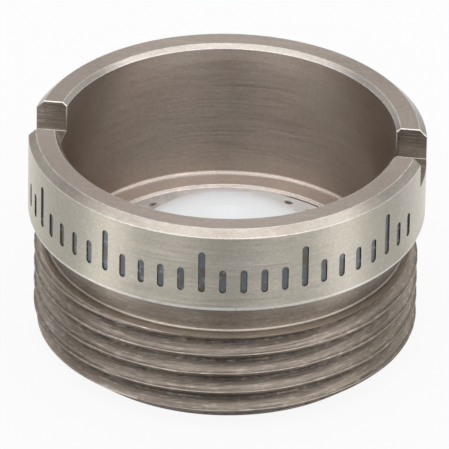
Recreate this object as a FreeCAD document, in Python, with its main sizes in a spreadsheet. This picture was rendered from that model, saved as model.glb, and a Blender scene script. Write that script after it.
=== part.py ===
import FreeCAD, Part

import math
import os

import Sketcher

# A small glass asphere glued into a threaded metal cell.
# The origin is the centre of the cell's lower face, on the optical axis.
# +Z is the optical axis and leaves the cell through its open cup.
# The spanner slots lie along X.

# Every driving size in millimetres (angles in degrees): name, value, meaning.
SIZES = [
    ("thread_radius", 4.48, "major radius of the outer thread"),
    ("thread_pitch", 0.5, "rise of the thread in one turn"),
    ("thread_length", 2.463, "lower face to the shoulder below the neck"),
    ("thread_start", 0.354, "part of a turn by which the groove leads at +X"),
    ("lead_height", 0.48, "height of the lead-in cone at the lower face"),
    ("lead_width", 0.585, "radial width of the lead-in cone"),
    ("neck_height", 0.821, "shoulder to the underside of the collar"),
    ("neck_relief", 0.01, "neck radius below the thread root radius"),
    ("neck_corner", 0.04, "corner left by the tool at the foot of the neck"),
    ("neck_wall", 0.253, "wall between the bore and the neck"),
    ("collar_height", 2.086, "underside of the collar to the rim"),
    ("collar_step", 0.14, "collar radius beyond the thread radius"),
    ("collar_edge", 0.03, "edge break at the underside of the collar"),
    ("rim_outer_chamfer", 0.172, "outer chamfer of the rim"),
    ("rim_inner_chamfer", 0.1, "inner chamfer of the rim"),
    ("slot_width", 1.3, "width of the spanner slots"),
    ("slot_depth", 0.767, "depth of the spanner slots from the rim"),
    ("bore_corner", 0.085, "fillet at the floor of the bore"),
    ("ledge_width", 0.49, "floor of the bore between its wall and its chamfer"),
    ("ledge_chamfer", 0.06, "chamfer between the ledge and the glue groove"),
    ("glue_width", 0.198, "radial width of the glue around the lens"),
    ("glue_depth", 0.4, "depth of the glue below the top of the flange"),
    ("glue_overlap", 0.2, "glue that creeps in over the flange"),
    ("glue_rise", 0.04, "glue level at the groove above the flange"),
    ("void_radius", 0.07, "bubbles that opened at the top of the glue"),
    ("flange_recess", 0.1, "top of the flange below the floor of the bore"),
    ("flange_height", 1.278, "thickness of the lens at its edge"),
    ("flange_width", 0.41, "flat edge of the lens around its curved top"),
    ("flange_chamfer", 0.05, "chamfer at the foot of the lens edge"),
    ("lens_play", 0.02, "gap between the lens edge and its pocket"),
    ("lip_height", 0.48, "thickness of the lip under the lens"),
    ("lip_width", 0.5, "seat of the lens on the lip"),
    ("lip_bevel", 0.22, "bevel of the aperture at the lower face"),
    ("top_curve_radius", 2.8, "vertex radius of the aspheric top"),
    ("rear_curve_radius", 16.0, "radius of the shallow lower surface"),
    ("rear_margin", 0.06, "curved lower surface inside the aperture"),
]

# Metric thread form: 60 degree flanks, crest flat an eighth of the pitch.
FLANK_TANGENT = math.tan(math.radians(30))
CREST_SHARE = 0.125
DEPTH_SHARE = 0.6134
# The cutter reaches out past the crest, by less than would join its turns.
OVERSHOOT_SHARE = 0.05

# Conic constant of the aspheric top, and the number of sampled steps on its curve.
TOP_CONIC = -0.6
TOP_STEPS = 12

# Bubbles in the glue, as angles in degrees from +X.
VOID_ANGLES = (58, 64, 131)

SHEET = "Sizes"


def make_sheet(document):
    """Write the driving sizes into a spreadsheet, one named cell each."""
    sheet = document.addObject("Spreadsheet::Sheet", SHEET)
    for row, (name, value, meaning) in enumerate(SIZES, start=1):
        sheet.set(f"A{row}", name)
        sheet.set(f"B{row}", str(value))
        sheet.set(f"C{row}", meaning)
        sheet.setAlias(f"B{row}", name)
    document.recompute()
    return sheet


def cells(text):
    """Turn plain size names in an expression into references to the sheet."""
    words = text.replace("(", " ( ").replace(")", " ) ").split()
    names = {name for name, _, _ in SIZES}
    return " ".join(f"{SHEET}.{word}" if word in names else word for word in words)


# Radii and heights that follow from the driving sizes.
GROOVE_DEPTH = f"thread_pitch * {DEPTH_SHARE}"
ROOT_RADIUS = f"( thread_radius - {GROOVE_DEPTH} )"
NECK_RADIUS = f"( {ROOT_RADIUS} - neck_relief )"
BORE_RADIUS = f"( {NECK_RADIUS} - neck_wall )"
GLUE_RADIUS = f"( {BORE_RADIUS} - ledge_width - ledge_chamfer )"
LENS_RADIUS = f"( {GLUE_RADIUS} - glue_width )"
POCKET_RADIUS = f"( {LENS_RADIUS} + lens_play )"
APERTURE_RADIUS = f"( {LENS_RADIUS} - lip_width )"
COLLAR_RADIUS = "( thread_radius + collar_step )"
LEAD_RADIUS = "( thread_radius - lead_width )"
COLLAR_BOTTOM = "( thread_length + neck_height )"
RIM = f"( {COLLAR_BOTTOM} + collar_height )"
FLANGE_TOP = "( lip_height + flange_height )"
LEDGE = f"( {FLANGE_TOP} + flange_recess )"
GLUE_FLOOR = f"( {FLANGE_TOP} - glue_depth )"


def origin_feature(body, role):
    """Find one of a body's own origin planes or axes."""
    return next(item for item in body.Origin.OriginFeatures if item.Role == role)


def add_profile(body, name, plane, corners):
    """Sketch a closed polygon whose corners are pairs of size expressions."""
    sketch = body.newObject("Sketcher::SketchObject", name)
    sketch.AttachmentSupport = [(origin_feature(body, plane), "")]
    sketch.MapMode = "FlatFace"
    bound = [(cells(across), cells(up)) for across, up in corners]
    places = [
        FreeCAD.Vector(sketch.evalExpression(across), sketch.evalExpression(up), 0)
        for across, up in bound
    ]
    count = len(places)
    for index in range(count):
        end = places[(index + 1) % count]
        sketch.addGeometry(Part.LineSegment(places[index], end))
    for index in range(count):
        sketch.addConstraint(
            Sketcher.Constraint("Coincident", index, 2, (index + 1) % count, 1)
        )
    for index, (place, expressions) in enumerate(zip(places, bound)):
        for kind, value, expression in zip(("DistanceX", "DistanceY"), place, expressions):
            number = sketch.addConstraint(
                Sketcher.Constraint(kind, -1, 1, index, 1, value)
            )
            sketch.setExpression(f"Constraints[{number}]", expression)
    return sketch


def add_body(document, name):
    """Start a body whose label is the name of its piece."""
    body = document.addObject("PartDesign::Body", name)
    body.Label = name
    return body


def add_turning(body, name, corners):
    """Revolve a half section, drawn in the XZ plane, round the optical axis."""
    sketch = add_profile(body, f"{name}_section", "XZ_Plane", corners)
    turning = body.newObject("PartDesign::Revolution", name)
    turning.Profile = sketch
    turning.ReferenceAxis = (sketch, ["V_Axis"])
    turning.Angle = 360
    body.Document.recompute()
    return turning


def round_edges(body, name, radius, wanted):
    """Fillet the edges of the body that the given test picks."""
    base = body.Tip
    edges = [
        f"Edge{number}"
        for number, edge in enumerate(base.Shape.Edges, start=1)
        if wanted(edge)
    ]
    fillet = body.newObject("PartDesign::Fillet", name)
    fillet.Base = (base, edges)
    fillet.setExpression("Radius", cells(radius))
    body.Document.recompute()
    return fillet


def size(sheet, text):
    """Value of an expression of sizes, as a plain number."""
    return float(sheet.evalExpression(cells(text)))


def is_circle_at(radius, height):
    """Test for a circular edge on the optical axis."""

    def check(edge):
        curve = edge.Curve
        if not isinstance(curve, Part.Circle):
            return False
        return abs(curve.Radius - radius) < 1e-4 and abs(curve.Center.z - height) < 1e-4

    return check


def make_housing(document, sheet):
    """Turned cell: collar with two slots, cup, lens pocket, lip, neck and thread."""
    body = add_body(document, "housing")
    add_turning(
        body,
        "turned_blank",
        [
            (f"{APERTURE_RADIUS} + lip_bevel", "0"),
            (LEAD_RADIUS, "0"),
            ("thread_radius", "lead_height"),
            ("thread_radius", "thread_length"),
            (f"{NECK_RADIUS} + neck_corner", "thread_length"),
            (NECK_RADIUS, "thread_length + neck_corner"),
            (NECK_RADIUS, COLLAR_BOTTOM),
            (f"{COLLAR_RADIUS} - collar_edge", COLLAR_BOTTOM),
            (COLLAR_RADIUS, f"{COLLAR_BOTTOM} + collar_edge"),
            (COLLAR_RADIUS, f"{RIM} - rim_outer_chamfer"),
            (f"{COLLAR_RADIUS} - rim_outer_chamfer", RIM),
            (f"{BORE_RADIUS} + rim_inner_chamfer", RIM),
            (BORE_RADIUS, f"{RIM} - rim_inner_chamfer"),
            (BORE_RADIUS, LEDGE),
            (f"{GLUE_RADIUS} + ledge_chamfer", LEDGE),
            (GLUE_RADIUS, f"{LEDGE} - ledge_chamfer"),
            (GLUE_RADIUS, GLUE_FLOOR),
            (POCKET_RADIUS, GLUE_FLOOR),
            (POCKET_RADIUS, "lip_height"),
            (APERTURE_RADIUS, "lip_height"),
            (APERTURE_RADIUS, "lip_bevel"),
        ],
    )
    round_edges(
        body,
        "bore_fillet",
        "bore_corner",
        is_circle_at(size(sheet, BORE_RADIUS), size(sheet, LEDGE)),
    )
    cut_thread(body)
    cut_slots(body)
    return body


def cut_thread(body):
    """Cut the helical groove from below the lower face up into the free neck."""
    groove_middle = "( 0 - thread_pitch * ( 1 + thread_start ) )"
    root_half = (
        f"thread_pitch * ( 1 - {CREST_SHARE} ) / 2"
        f" - {GROOVE_DEPTH} * {FLANK_TANGENT}"
    )
    mouth_half = (
        f"thread_pitch * ( 1 - {CREST_SHARE} ) / 2"
        f" + thread_pitch * {OVERSHOOT_SHARE} * {FLANK_TANGENT}"
    )
    mouth_radius = f"thread_radius + thread_pitch * {OVERSHOOT_SHARE}"
    sketch = add_profile(
        body,
        "groove_section",
        "XZ_Plane",
        [
            (ROOT_RADIUS, f"{groove_middle} - ( {root_half} )"),
            (mouth_radius, f"{groove_middle} - ( {mouth_half} )"),
            (mouth_radius, f"{groove_middle} + {mouth_half}"),
            (ROOT_RADIUS, f"{groove_middle} + {root_half}"),
        ],
    )
    before = body.Shape.Volume
    helix = body.newObject("PartDesign::SubtractiveHelix", "thread_groove")
    helix.Profile = sketch
    helix.ReferenceAxis = (sketch, ["V_Axis"])
    helix.Mode = "pitch-height-angle"
    helix.LeftHanded = False
    helix.setExpression("Pitch", cells("thread_pitch"))
    helix.setExpression(
        "Height",
        cells(f"thread_length + neck_height / 2 - {groove_middle}"),
    )
    body.Document.recompute()
    print("thread groove removed", round(before - body.Shape.Volume, 3), "mm3")


def cut_slots(body):
    """Mill both spanner slots with one pass across the rim."""
    sketch = add_profile(
        body,
        "slot_section",
        "YZ_Plane",
        [
            ("0 - slot_width / 2", f"{RIM} - slot_depth"),
            ("slot_width / 2", f"{RIM} - slot_depth"),
            ("slot_width / 2", f"{RIM} + slot_depth"),
            ("0 - slot_width / 2", f"{RIM} + slot_depth"),
        ],
    )
    before = body.Shape.Volume
    slots = body.newObject("PartDesign::Pocket", "spanner_slots")
    slots.Profile = sketch
    slots.SideType = "Symmetric"
    slots.setExpression("Length", cells(f"{COLLAR_RADIUS} * 4"))
    body.Document.recompute()
    print("slots removed", round(before - body.Shape.Volume, 3), "mm3")


def conic_root(distance, vertex_radius):
    return math.sqrt(1 - (1 + TOP_CONIC) * (distance / vertex_radius) ** 2)


def aspheric_drop(distance, vertex_radius):
    """Drop of the conic top surface below its vertex at a distance from the axis."""
    root = conic_root(distance, vertex_radius)
    return distance**2 / (vertex_radius * (1 + root))


def aspheric_slope(distance, vertex_radius):
    """Slope of the conic top surface at a distance from the axis."""
    return distance / (vertex_radius * conic_root(distance, vertex_radius))


def make_lens(document, sheet):
    """Moulded lens, revolved from a half section whose top follows the asphere formula."""
    edge_radius = size(sheet, LENS_RADIUS)
    flange_top = size(sheet, "flange_height")
    top_radius = size(sheet, f"{LENS_RADIUS} - flange_width")
    chamfer = size(sheet, "flange_chamfer")
    vertex_radius = size(sheet, "top_curve_radius")
    apex = flange_top + aspheric_drop(top_radius, vertex_radius)
    top_points = []
    for step in range(TOP_STEPS + 1):
        distance = top_radius * step / TOP_STEPS
        height = apex - aspheric_drop(distance, vertex_radius)
        top_points.append(FreeCAD.Vector(distance, 0, height))
    edge_slope = aspheric_slope(top_radius, vertex_radius)
    top_curve = Part.BSplineCurve()
    top_curve.interpolate(
        Points=top_points,
        InitialTangent=FreeCAD.Vector(1, 0, 0),
        FinalTangent=FreeCAD.Vector(1, 0, -edge_slope),
    )

    rear_radius = size(sheet, f"{APERTURE_RADIUS} - rear_margin")
    rear_ball = size(sheet, "rear_curve_radius")
    rear_vertex = math.sqrt(rear_ball**2 - rear_radius**2) - rear_ball
    half_angle = math.asin(rear_radius / rear_ball) / 2
    rear_middle = FreeCAD.Vector(
        rear_ball * math.sin(half_angle),
        0,
        rear_vertex + rear_ball * (1 - math.cos(half_angle)),
    )
    rear_start = FreeCAD.Vector(0, 0, rear_vertex)
    rear_end = FreeCAD.Vector(rear_radius, 0, 0)
    side_points = [
        rear_end,
        FreeCAD.Vector(edge_radius - chamfer, 0, 0),
        FreeCAD.Vector(edge_radius, 0, chamfer),
        FreeCAD.Vector(edge_radius, 0, flange_top),
        top_points[-1],
    ]
    edges = [
        Part.Arc(rear_start, rear_middle, rear_end).toShape(),
        *Part.makePolygon(side_points).Edges,
        top_curve.toShape(),
        Part.makeLine(top_points[0], rear_start),
    ]
    section = Part.Face(Part.Wire(Part.__sortEdges__(edges)))
    solid = section.revolve(FreeCAD.Vector(0, 0, 0), FreeCAD.Vector(0, 0, 1), 360)
    lens = document.addObject("Part::Feature", "aspheric_lens")
    lens.Label = "aspheric_lens"
    lens.Shape = solid
    lens.Placement.Base = FreeCAD.Vector(0, 0, size(sheet, "lip_height"))
    return lens


def make_glue(document):
    """Cured glue: fills the groove round the lens and creeps in over its flange."""
    body = add_body(document, "adhesive_ring")
    add_turning(
        body,
        "glue_bead",
        [
            (LENS_RADIUS, GLUE_FLOOR),
            (GLUE_RADIUS, GLUE_FLOOR),
            (GLUE_RADIUS, f"{FLANGE_TOP} + glue_rise"),
            (f"{LENS_RADIUS} - glue_overlap", FLANGE_TOP),
            (LENS_RADIUS, FLANGE_TOP),
        ],
    )
    for number, angle in enumerate(VOID_ANGLES, start=1):
        turn = math.radians(angle)
        middle = f"( {LENS_RADIUS} + glue_width / 2 )"
        place = (
            f"{middle} * {math.cos(turn)}",
            f"{middle} * {math.sin(turn)}",
            f"{FLANGE_TOP} + glue_rise",
        )
        void = body.newObject("PartDesign::SubtractiveSphere", f"void_{number}")
        void.AttachmentSupport = [(origin_feature(body, "XY_Plane"), "")]
        void.MapMode = "FlatFace"
        void.setExpression("Radius", cells("void_radius"))
        for axis, expression in zip("xyz", place):
            void.setExpression(f"AttachmentOffset.Base.{axis}", cells(expression))
        document.recompute()
    return body


def check(document, parts):
    """Stop before anything is written if an object failed or a shape is bad."""
    for item in document.Objects:
        if "Invalid" in item.State or "Error" in item.State:
            raise RuntimeError(f"{item.Label} failed: {item.State}")
    for part in parts:
        if part.Shape.isNull() or not part.Shape.isValid():
            raise RuntimeError(f"{part.Label} has no valid shape")
        box = part.Shape.BoundBox
        print(
            part.Label,
            "solids",
            len(part.Shape.Solids),
            "volume",
            round(part.Shape.Volume, 3),
            "z",
            round(box.ZMin, 3),
            round(box.ZMax, 3),
            "width",
            round(box.XLength, 3),
        )


def main():
    document = FreeCAD.newDocument("mounted_lens")
    sheet = make_sheet(document)
    parts = [
        make_housing(document, sheet),
        make_lens(document, sheet),
        make_glue(document),
    ]
    document.recompute()
    check(document, parts)
    os.makedirs("parts", exist_ok=True)
    for part in parts:
        part.Shape.exportStep(f"parts/{part.Label}.step")


main()
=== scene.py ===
import math
from collections import namedtuple

import bpy
from mathutils import Matrix, Quaternion, Vector, noise


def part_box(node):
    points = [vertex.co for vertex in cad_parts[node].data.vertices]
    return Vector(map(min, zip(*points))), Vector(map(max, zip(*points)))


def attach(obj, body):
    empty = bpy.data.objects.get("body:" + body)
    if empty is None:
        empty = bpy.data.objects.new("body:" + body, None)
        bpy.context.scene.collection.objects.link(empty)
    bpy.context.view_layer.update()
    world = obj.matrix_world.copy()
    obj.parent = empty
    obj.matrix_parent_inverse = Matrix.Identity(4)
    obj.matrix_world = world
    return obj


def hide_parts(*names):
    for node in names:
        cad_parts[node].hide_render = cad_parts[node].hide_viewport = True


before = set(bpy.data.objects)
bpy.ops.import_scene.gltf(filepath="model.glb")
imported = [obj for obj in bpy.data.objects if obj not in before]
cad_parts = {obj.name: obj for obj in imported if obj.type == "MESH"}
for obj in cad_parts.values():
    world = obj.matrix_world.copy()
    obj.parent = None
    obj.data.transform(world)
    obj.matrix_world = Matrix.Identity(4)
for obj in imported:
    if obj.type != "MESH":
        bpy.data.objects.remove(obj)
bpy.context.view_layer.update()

# Shapes are worked out in millimetres and written to the meshes in metres.
MM = 0.001
TAU = 2 * math.pi

# Overall sizes come from the frame.
collar_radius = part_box("housing")[1].x / MM
rim_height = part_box("housing")[1].z / MM
lens_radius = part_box("aspheric_lens")[1].x / MM
lens_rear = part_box("aspheric_lens")[0].z / MM
lens_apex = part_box("aspheric_lens")[1].z / MM
glue_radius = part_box("adhesive_ring")[1].x / MM
glue_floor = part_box("adhesive_ring")[0].z / MM

# Thread.
THREAD_RADIUS = 4.48
PITCH = 0.5
CREST_FLAT = PITCH / 8
DEPTH_SHARE = 0.6134
FLANK_ANGLE = math.radians(30)
THREAD_DEPTH = DEPTH_SHARE * PITCH
FLANK = THREAD_DEPTH * math.tan(FLANK_ANGLE)
CREST_ROUND = 0.02
ROOT_ROUND = 0.045
CREST_AT_X = 0.0727
SHOULDER = 2.463
SHOULDER_CLEAR = 0.004
LEAD_HEIGHT = 0.48
LEAD_WIDTH = 0.585
# Wear and painted highlight where the crests run into the lead cone.
LEAD_WEAR_AND_HIGHLIGHT = 0.5
# Shares of the thread's depth at which each flank has a point.
FLANK_POINTS = (0.3, 0.6)
# Soiling and painted shade on the lower flank, in the root below it and at the shoulder; painted
# shade on the crest and just beside it.
LOWER_GRIME_AND_SHADE = 0.72
LOWER_ROOT_GRIME_AND_SHADE = 0.98
CREST_SHADE = 0.45
CREST_SIDE_SHADE = 0.8
SHOULDER_GRIME_AND_SHADE = 0.6
# Soiling and painted shade on the upper flank, darker towards the root: (share of the thread's
# depth from which it holds, level).
UPPER_GRIME_AND_SHADE = ((0.2, 0.2), (0.5, 0.38), (0.75, 0.72), (0.95, 1.15))
# Uneven crests: slow and fast waves, a setback from the full radius, and the depth they reach.
SLOW_BURR = 0.010
FAST_BURR = 0.007
BURR_SETBACK = 0.004
BURR_REACH = 0.12
# The crests' path through the noise, and how finely the waves read it.
BURR_CIRCLE = 14
BURR_CLIMB = 12
SLOW_SCALE = 0.35
FAST_SCALE = 2.6
FAST_OFFSET = Vector((9, 4, 2))

# Neck and collar.
NECK_RADIUS = 4.1633
NECK_FOOT = 0.032
NECK_ROUND = 0.005
# Soiling and painted shade in the corner at the foot of the neck.
FOOT_GRIME_AND_SHADE = 0.72
# Soiling and painted shade up the neck, most low on it: (height, level).
NECK_GRIME_AND_SHADE = ((2.52, 0.3), (2.57, 0.5), (2.64, 0.6), (2.75, 0.5), (2.90, 0.3), (3.05, 0.1))
COLLAR_BOTTOM = 3.263
COLLAR_EDGE_RISE = 0.065
COLLAR_EDGE_DEPTH = 0.025
COLLAR_LOWER_ROUND = 0.015
COLLAR_UPPER_ROUND = 0.06
COLLAR_MARGIN = 0.002
OUTER_CHAMFER = 0.172
INNER_CHAMFER = 0.1
EDGE_ROUND = 0.012
GROOVE_ROUND = 0.02

# Spanner slots.
SLOT_HALF = 0.65
SLOT_FLOOR = 4.603
SLOT_BREAK = 0.016
FLOOR_BREAK = 0.012
# How much darker the slot's edges are below the outer chamfer.
SLOT_EDGE_DARKENING = 0.4
# The mesh's columns run parallel to a slot's walls up to one angle, radially from the other.
PARALLEL_TO = math.radians(9)
RADIAL_FROM = math.radians(25)

# Cup, ledge, lens seat and aperture.
BORE_RADIUS = 3.9103
BORE_CORNER = 0.08
BORE_CORNER_ROUND = 0.08
LEDGE = 1.858
LEDGE_CHAMFER = 0.06
POCKET_RADIUS = 3.1823
LIP_TOP = 0.48
APERTURE_RADIUS = 2.6623
APERTURE_BEVEL = 0.22

# Corners that are equal on a grid of this many steps per millimetre count as one.
MERGE_GRID = 1e5
COLUMN_STEP = math.radians(0.84)
CLOSEST_COLUMNS = 0.45
ARC_STEPS = 3
FINE_ARC_STEPS = 4
# Width of the fade beside an edge rubbed and painted bright, and the most of the room beside it
# that it takes.
WEAR_AND_HIGHLIGHT_FADE = 0.014
FADE_SHARE = 0.3
# Wear and painted highlight of the edges that are bright nearly all round.
RUBBED_AND_HIGHLIT = 1.8
# A run below the first is none; a bevel's rise and run each pass the second share of the other.
FLAT = 0.001
BEVEL_SHARE = 0.4
NORMAL_WEIGHT = 60


def smoothstep(value, start, end):
    share = min(1.0, max(0.0, (value - start) / (end - start)))
    return share * share * (3 - 2 * share)


def rounded(corners, steps=ARC_STEPS):
    """Polyline of (across, up, corner radius) with each corner turned into an arc.

    The metal lies left of the line. The third value of a point is its wear and painted
    highlight: 1 on an outward edge, 0 elsewhere, with a clean point close to each side of the
    edge.
    """
    out = []
    for index, (x, y, radius) in enumerate(corners):
        if radius == 0 or index in (0, len(corners) - 1):
            out.append((x, y, 0.0))
            continue
        here = Vector((x, y))
        before = Vector(corners[index - 1][:2]) - here
        after = Vector(corners[index + 1][:2]) - here
        outward = before.cross(after) < 0
        room = min(before.length, after.length)
        before.normalize()
        after.normalize()
        half = math.acos(max(-1.0, min(1.0, before.dot(after)))) / 2
        middle = here + (before + after).normalized() * (radius / math.sin(half))
        reach = radius / math.tan(half)
        start = here + before * reach - middle
        end = here + after * reach - middle
        sweep = start.angle_signed(end)
        fade = reach + min(WEAR_AND_HIGHLIGHT_FADE, (room - 2 * reach) * FADE_SHARE)
        arc = []
        for step in range(steps + 1):
            point = middle + Matrix.Rotation(-sweep * step / steps, 2) @ start
            arc.append((point.x, point.y, 1.0 if outward else 0.0))
        if outward:
            arc.insert(0, (*(here + before * fade), 0.0))
            arc.append((*(here + after * fade), 0.0))
        out += arc
    return out


def add_object(name, data):
    thing = bpy.data.objects.new(name, data)
    bpy.context.scene.collection.objects.link(thing)
    return thing


class Mesh:
    """Collects faces by the coordinates of their corners and shares equal corners."""

    def __init__(self):
        self.points = []
        self.values = []
        self.found = {}
        self.faces = []
        self.kinds = []

    def vertex(self, point, value=0.0):
        key = tuple(round(c * MERGE_GRID) for c in point)
        if key not in self.found:
            self.found[key] = len(self.points)
            self.points.append(point)
            self.values.append(value)
        return self.found[key]

    def face(self, corners, kind=0):
        loop = []
        for corner in corners:
            if corner not in loop:
                loop.append(corner)
        if len(loop) >= 3:
            self.faces.append(loop)
            self.kinds.append(kind)

    def build(self, name, attribute=None):
        data = bpy.data.meshes.new(name)
        data.from_pydata([Vector(p) * MM for p in self.points], [], self.faces)
        data.polygons.foreach_set("material_index", self.kinds)
        if attribute:
            layer = data.attributes.new(attribute, "FLOAT", "POINT")
            layer.data.foreach_set("value", self.values)
        data.validate()
        return add_object(name, data)


def polar(radius, angle, height):
    return (radius * math.cos(angle), radius * math.sin(angle), height)


def finish_mesh(piece, sharp_degrees):
    """Smooth shading that keeps hard edges and flat faces."""
    data = piece.data
    data.polygons.foreach_set("use_smooth", [True] * len(data.polygons))
    data.set_sharp_from_angle(angle=math.radians(sharp_degrees))
    weighted = piece.modifiers.new("weighted_normals", "WEIGHTED_NORMAL")
    weighted.keep_sharp = True
    weighted.weight = NORMAL_WEIGHT


# Housing

def thread_profile():
    """One turn of the thread from root to root, as (height from the crest, depth, soiling and
    painted shade as a negative value).
    """
    crest = CREST_FLAT / 2
    upper = [
        (crest, 0, CREST_ROUND),
        *[(crest + FLANK * share, THREAD_DEPTH * share, 0) for share in FLANK_POINTS],
        (crest + FLANK, THREAD_DEPTH, ROOT_ROUND),
        (PITCH / 2, THREAD_DEPTH, 0),
    ]
    corners = [(-height, depth, radius) for height, depth, radius in reversed(upper)] + upper
    points = []
    for drop, depth, wear in rounded(corners)[:-1]:
        share = depth / THREAD_DEPTH
        if drop < 0:
            grime_and_shade = LOWER_GRIME_AND_SHADE + share * (LOWER_ROOT_GRIME_AND_SHADE - LOWER_GRIME_AND_SHADE)
        else:
            grime_and_shade = CREST_SHADE if wear else CREST_SIDE_SHADE
            for start, level in UPPER_GRIME_AND_SHADE:
                if share >= start:
                    grime_and_shade = level
        points.append((drop, depth, -grime_and_shade))
    return points


def crest_height(angle, turn):
    return CREST_AT_X + PITCH * (angle / TAU + turn)


def lead_radius(height):
    return THREAD_RADIUS - LEAD_WIDTH * (1 - height / LEAD_HEIGHT)


def burr(angle, turn):
    """Small unevenness of the crest, as a height and a radius."""
    place = Vector(polar(BURR_CIRCLE, angle, crest_height(angle, turn) * BURR_CLIMB))
    slow = noise.noise(place * SLOW_SCALE)
    fast = noise.noise(place * FAST_SCALE + FAST_OFFSET)
    return SLOW_BURR * slow + FAST_BURR * fast, FAST_BURR * fast - BURR_SETBACK


def thread_column(angle, profile):
    """Labelled points of the thread's surface at one angle, from the lower face up."""
    points = [(("low",), THREAD_RADIUS - LEAD_WIDTH, 0.0, 0.0)]
    last = None
    turns = range(-1, int(SHOULDER / PITCH) + 2)
    for turn in turns:
        shift, lift = burr(angle, turn)
        for number, (drop, depth, worn) in enumerate(profile):
            near_crest = 1 - smoothstep(depth, 0.0, BURR_REACH)
            height = crest_height(angle, turn) + drop + shift * near_crest
            radius = THREAD_RADIUS - depth + min(0.0, lift * near_crest)
            place = (height, radius, radius - lead_radius(height))
            if last and height > 0 and last[2] * place[2] < 0:
                share = last[2] / (last[2] - place[2])
                cut_height = last[0] + share * (height - last[0])
                cut_radius = last[1] + share * (radius - last[1])
                if 0 < cut_height < LEAD_HEIGHT:
                    points.append((("cut", turn, number), cut_radius, cut_height, LEAD_WEAR_AND_HIGHLIGHT))
            on_thread = height > LEAD_HEIGHT or place[2] <= 0
            if 0 < height < SHOULDER - SHOULDER_CLEAR and on_thread:
                points.append(((turn, number), radius, height, worn))
            if last and last[0] < SHOULDER <= height:
                share = (SHOULDER - last[0]) / (height - last[0])
                top_radius = last[1] + share * (radius - last[1])
                foot = NECK_RADIUS + NECK_FOOT
                # Painted shade and soiling on the shoulder, in the corner under the neck.
                worn = smoothstep(top_radius, foot, THREAD_RADIUS) - SHOULDER_GRIME_AND_SHADE
                points.append((("top",), max(top_radius, foot), SHOULDER, worn))
                return points
            last = place
    return points


def shifted(column, turns):
    """The same points with their turn counted from a full circle further round."""
    out = []
    for label, radius, height, worn in column:
        if label[0] == "cut":
            label = ("cut", label[1] + turns, label[2])
        elif isinstance(label[0], int):
            label = (label[0] + turns, label[1])
        out.append((label, radius, height, worn))
    return out


def zip_columns(mesh, left, left_angle, right, right_angle):
    """Join two neighbouring thread columns: quads where labels match, else triangles."""
    left_points = [mesh.vertex(polar(r, left_angle, z), w) for _, r, z, w in left]
    right_points = [mesh.vertex(polar(r, right_angle, z), w) for _, r, z, w in right]
    left_labels = {item[0]: number for number, item in enumerate(left)}
    right_labels = {item[0]: number for number, item in enumerate(right)}
    i = j = 0
    while i < len(left) - 1 or j < len(right) - 1:
        a, b = left_points[i], right_points[j]
        if i == len(left) - 1:
            step = "right"
        elif j == len(right) - 1:
            step = "left"
        elif left[i + 1][0] == right[j + 1][0]:
            step = "both"
        else:
            left_alone = right_labels.get(left[i + 1][0], -1) < j
            right_alone = left_labels.get(right[j + 1][0], -1) < i
            if left_alone == right_alone:
                step = "left" if left[i + 1][2] < right[j + 1][2] else "right"
            else:
                step = "left" if left_alone else "right"
        if step == "both":
            mesh.face([a, b, right_points[j + 1], left_points[i + 1]], THREADED)
            i += 1
            j += 1
        elif step == "left":
            mesh.face([a, b, left_points[i + 1]], THREADED)
            i += 1
        else:
            mesh.face([a, b, right_points[j + 1]], THREADED)
            j += 1


Row = namedtuple("Row", "radius height slot_radius worn where kind")
(OUTSIDE, FACE, CUP, SHELF, BEVEL, BRIGHT_BEVEL, CORNER, MILLED, THREADED, NECK,
 STROKE_FLOOR, STROKE_WALL) = range(12)


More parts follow.
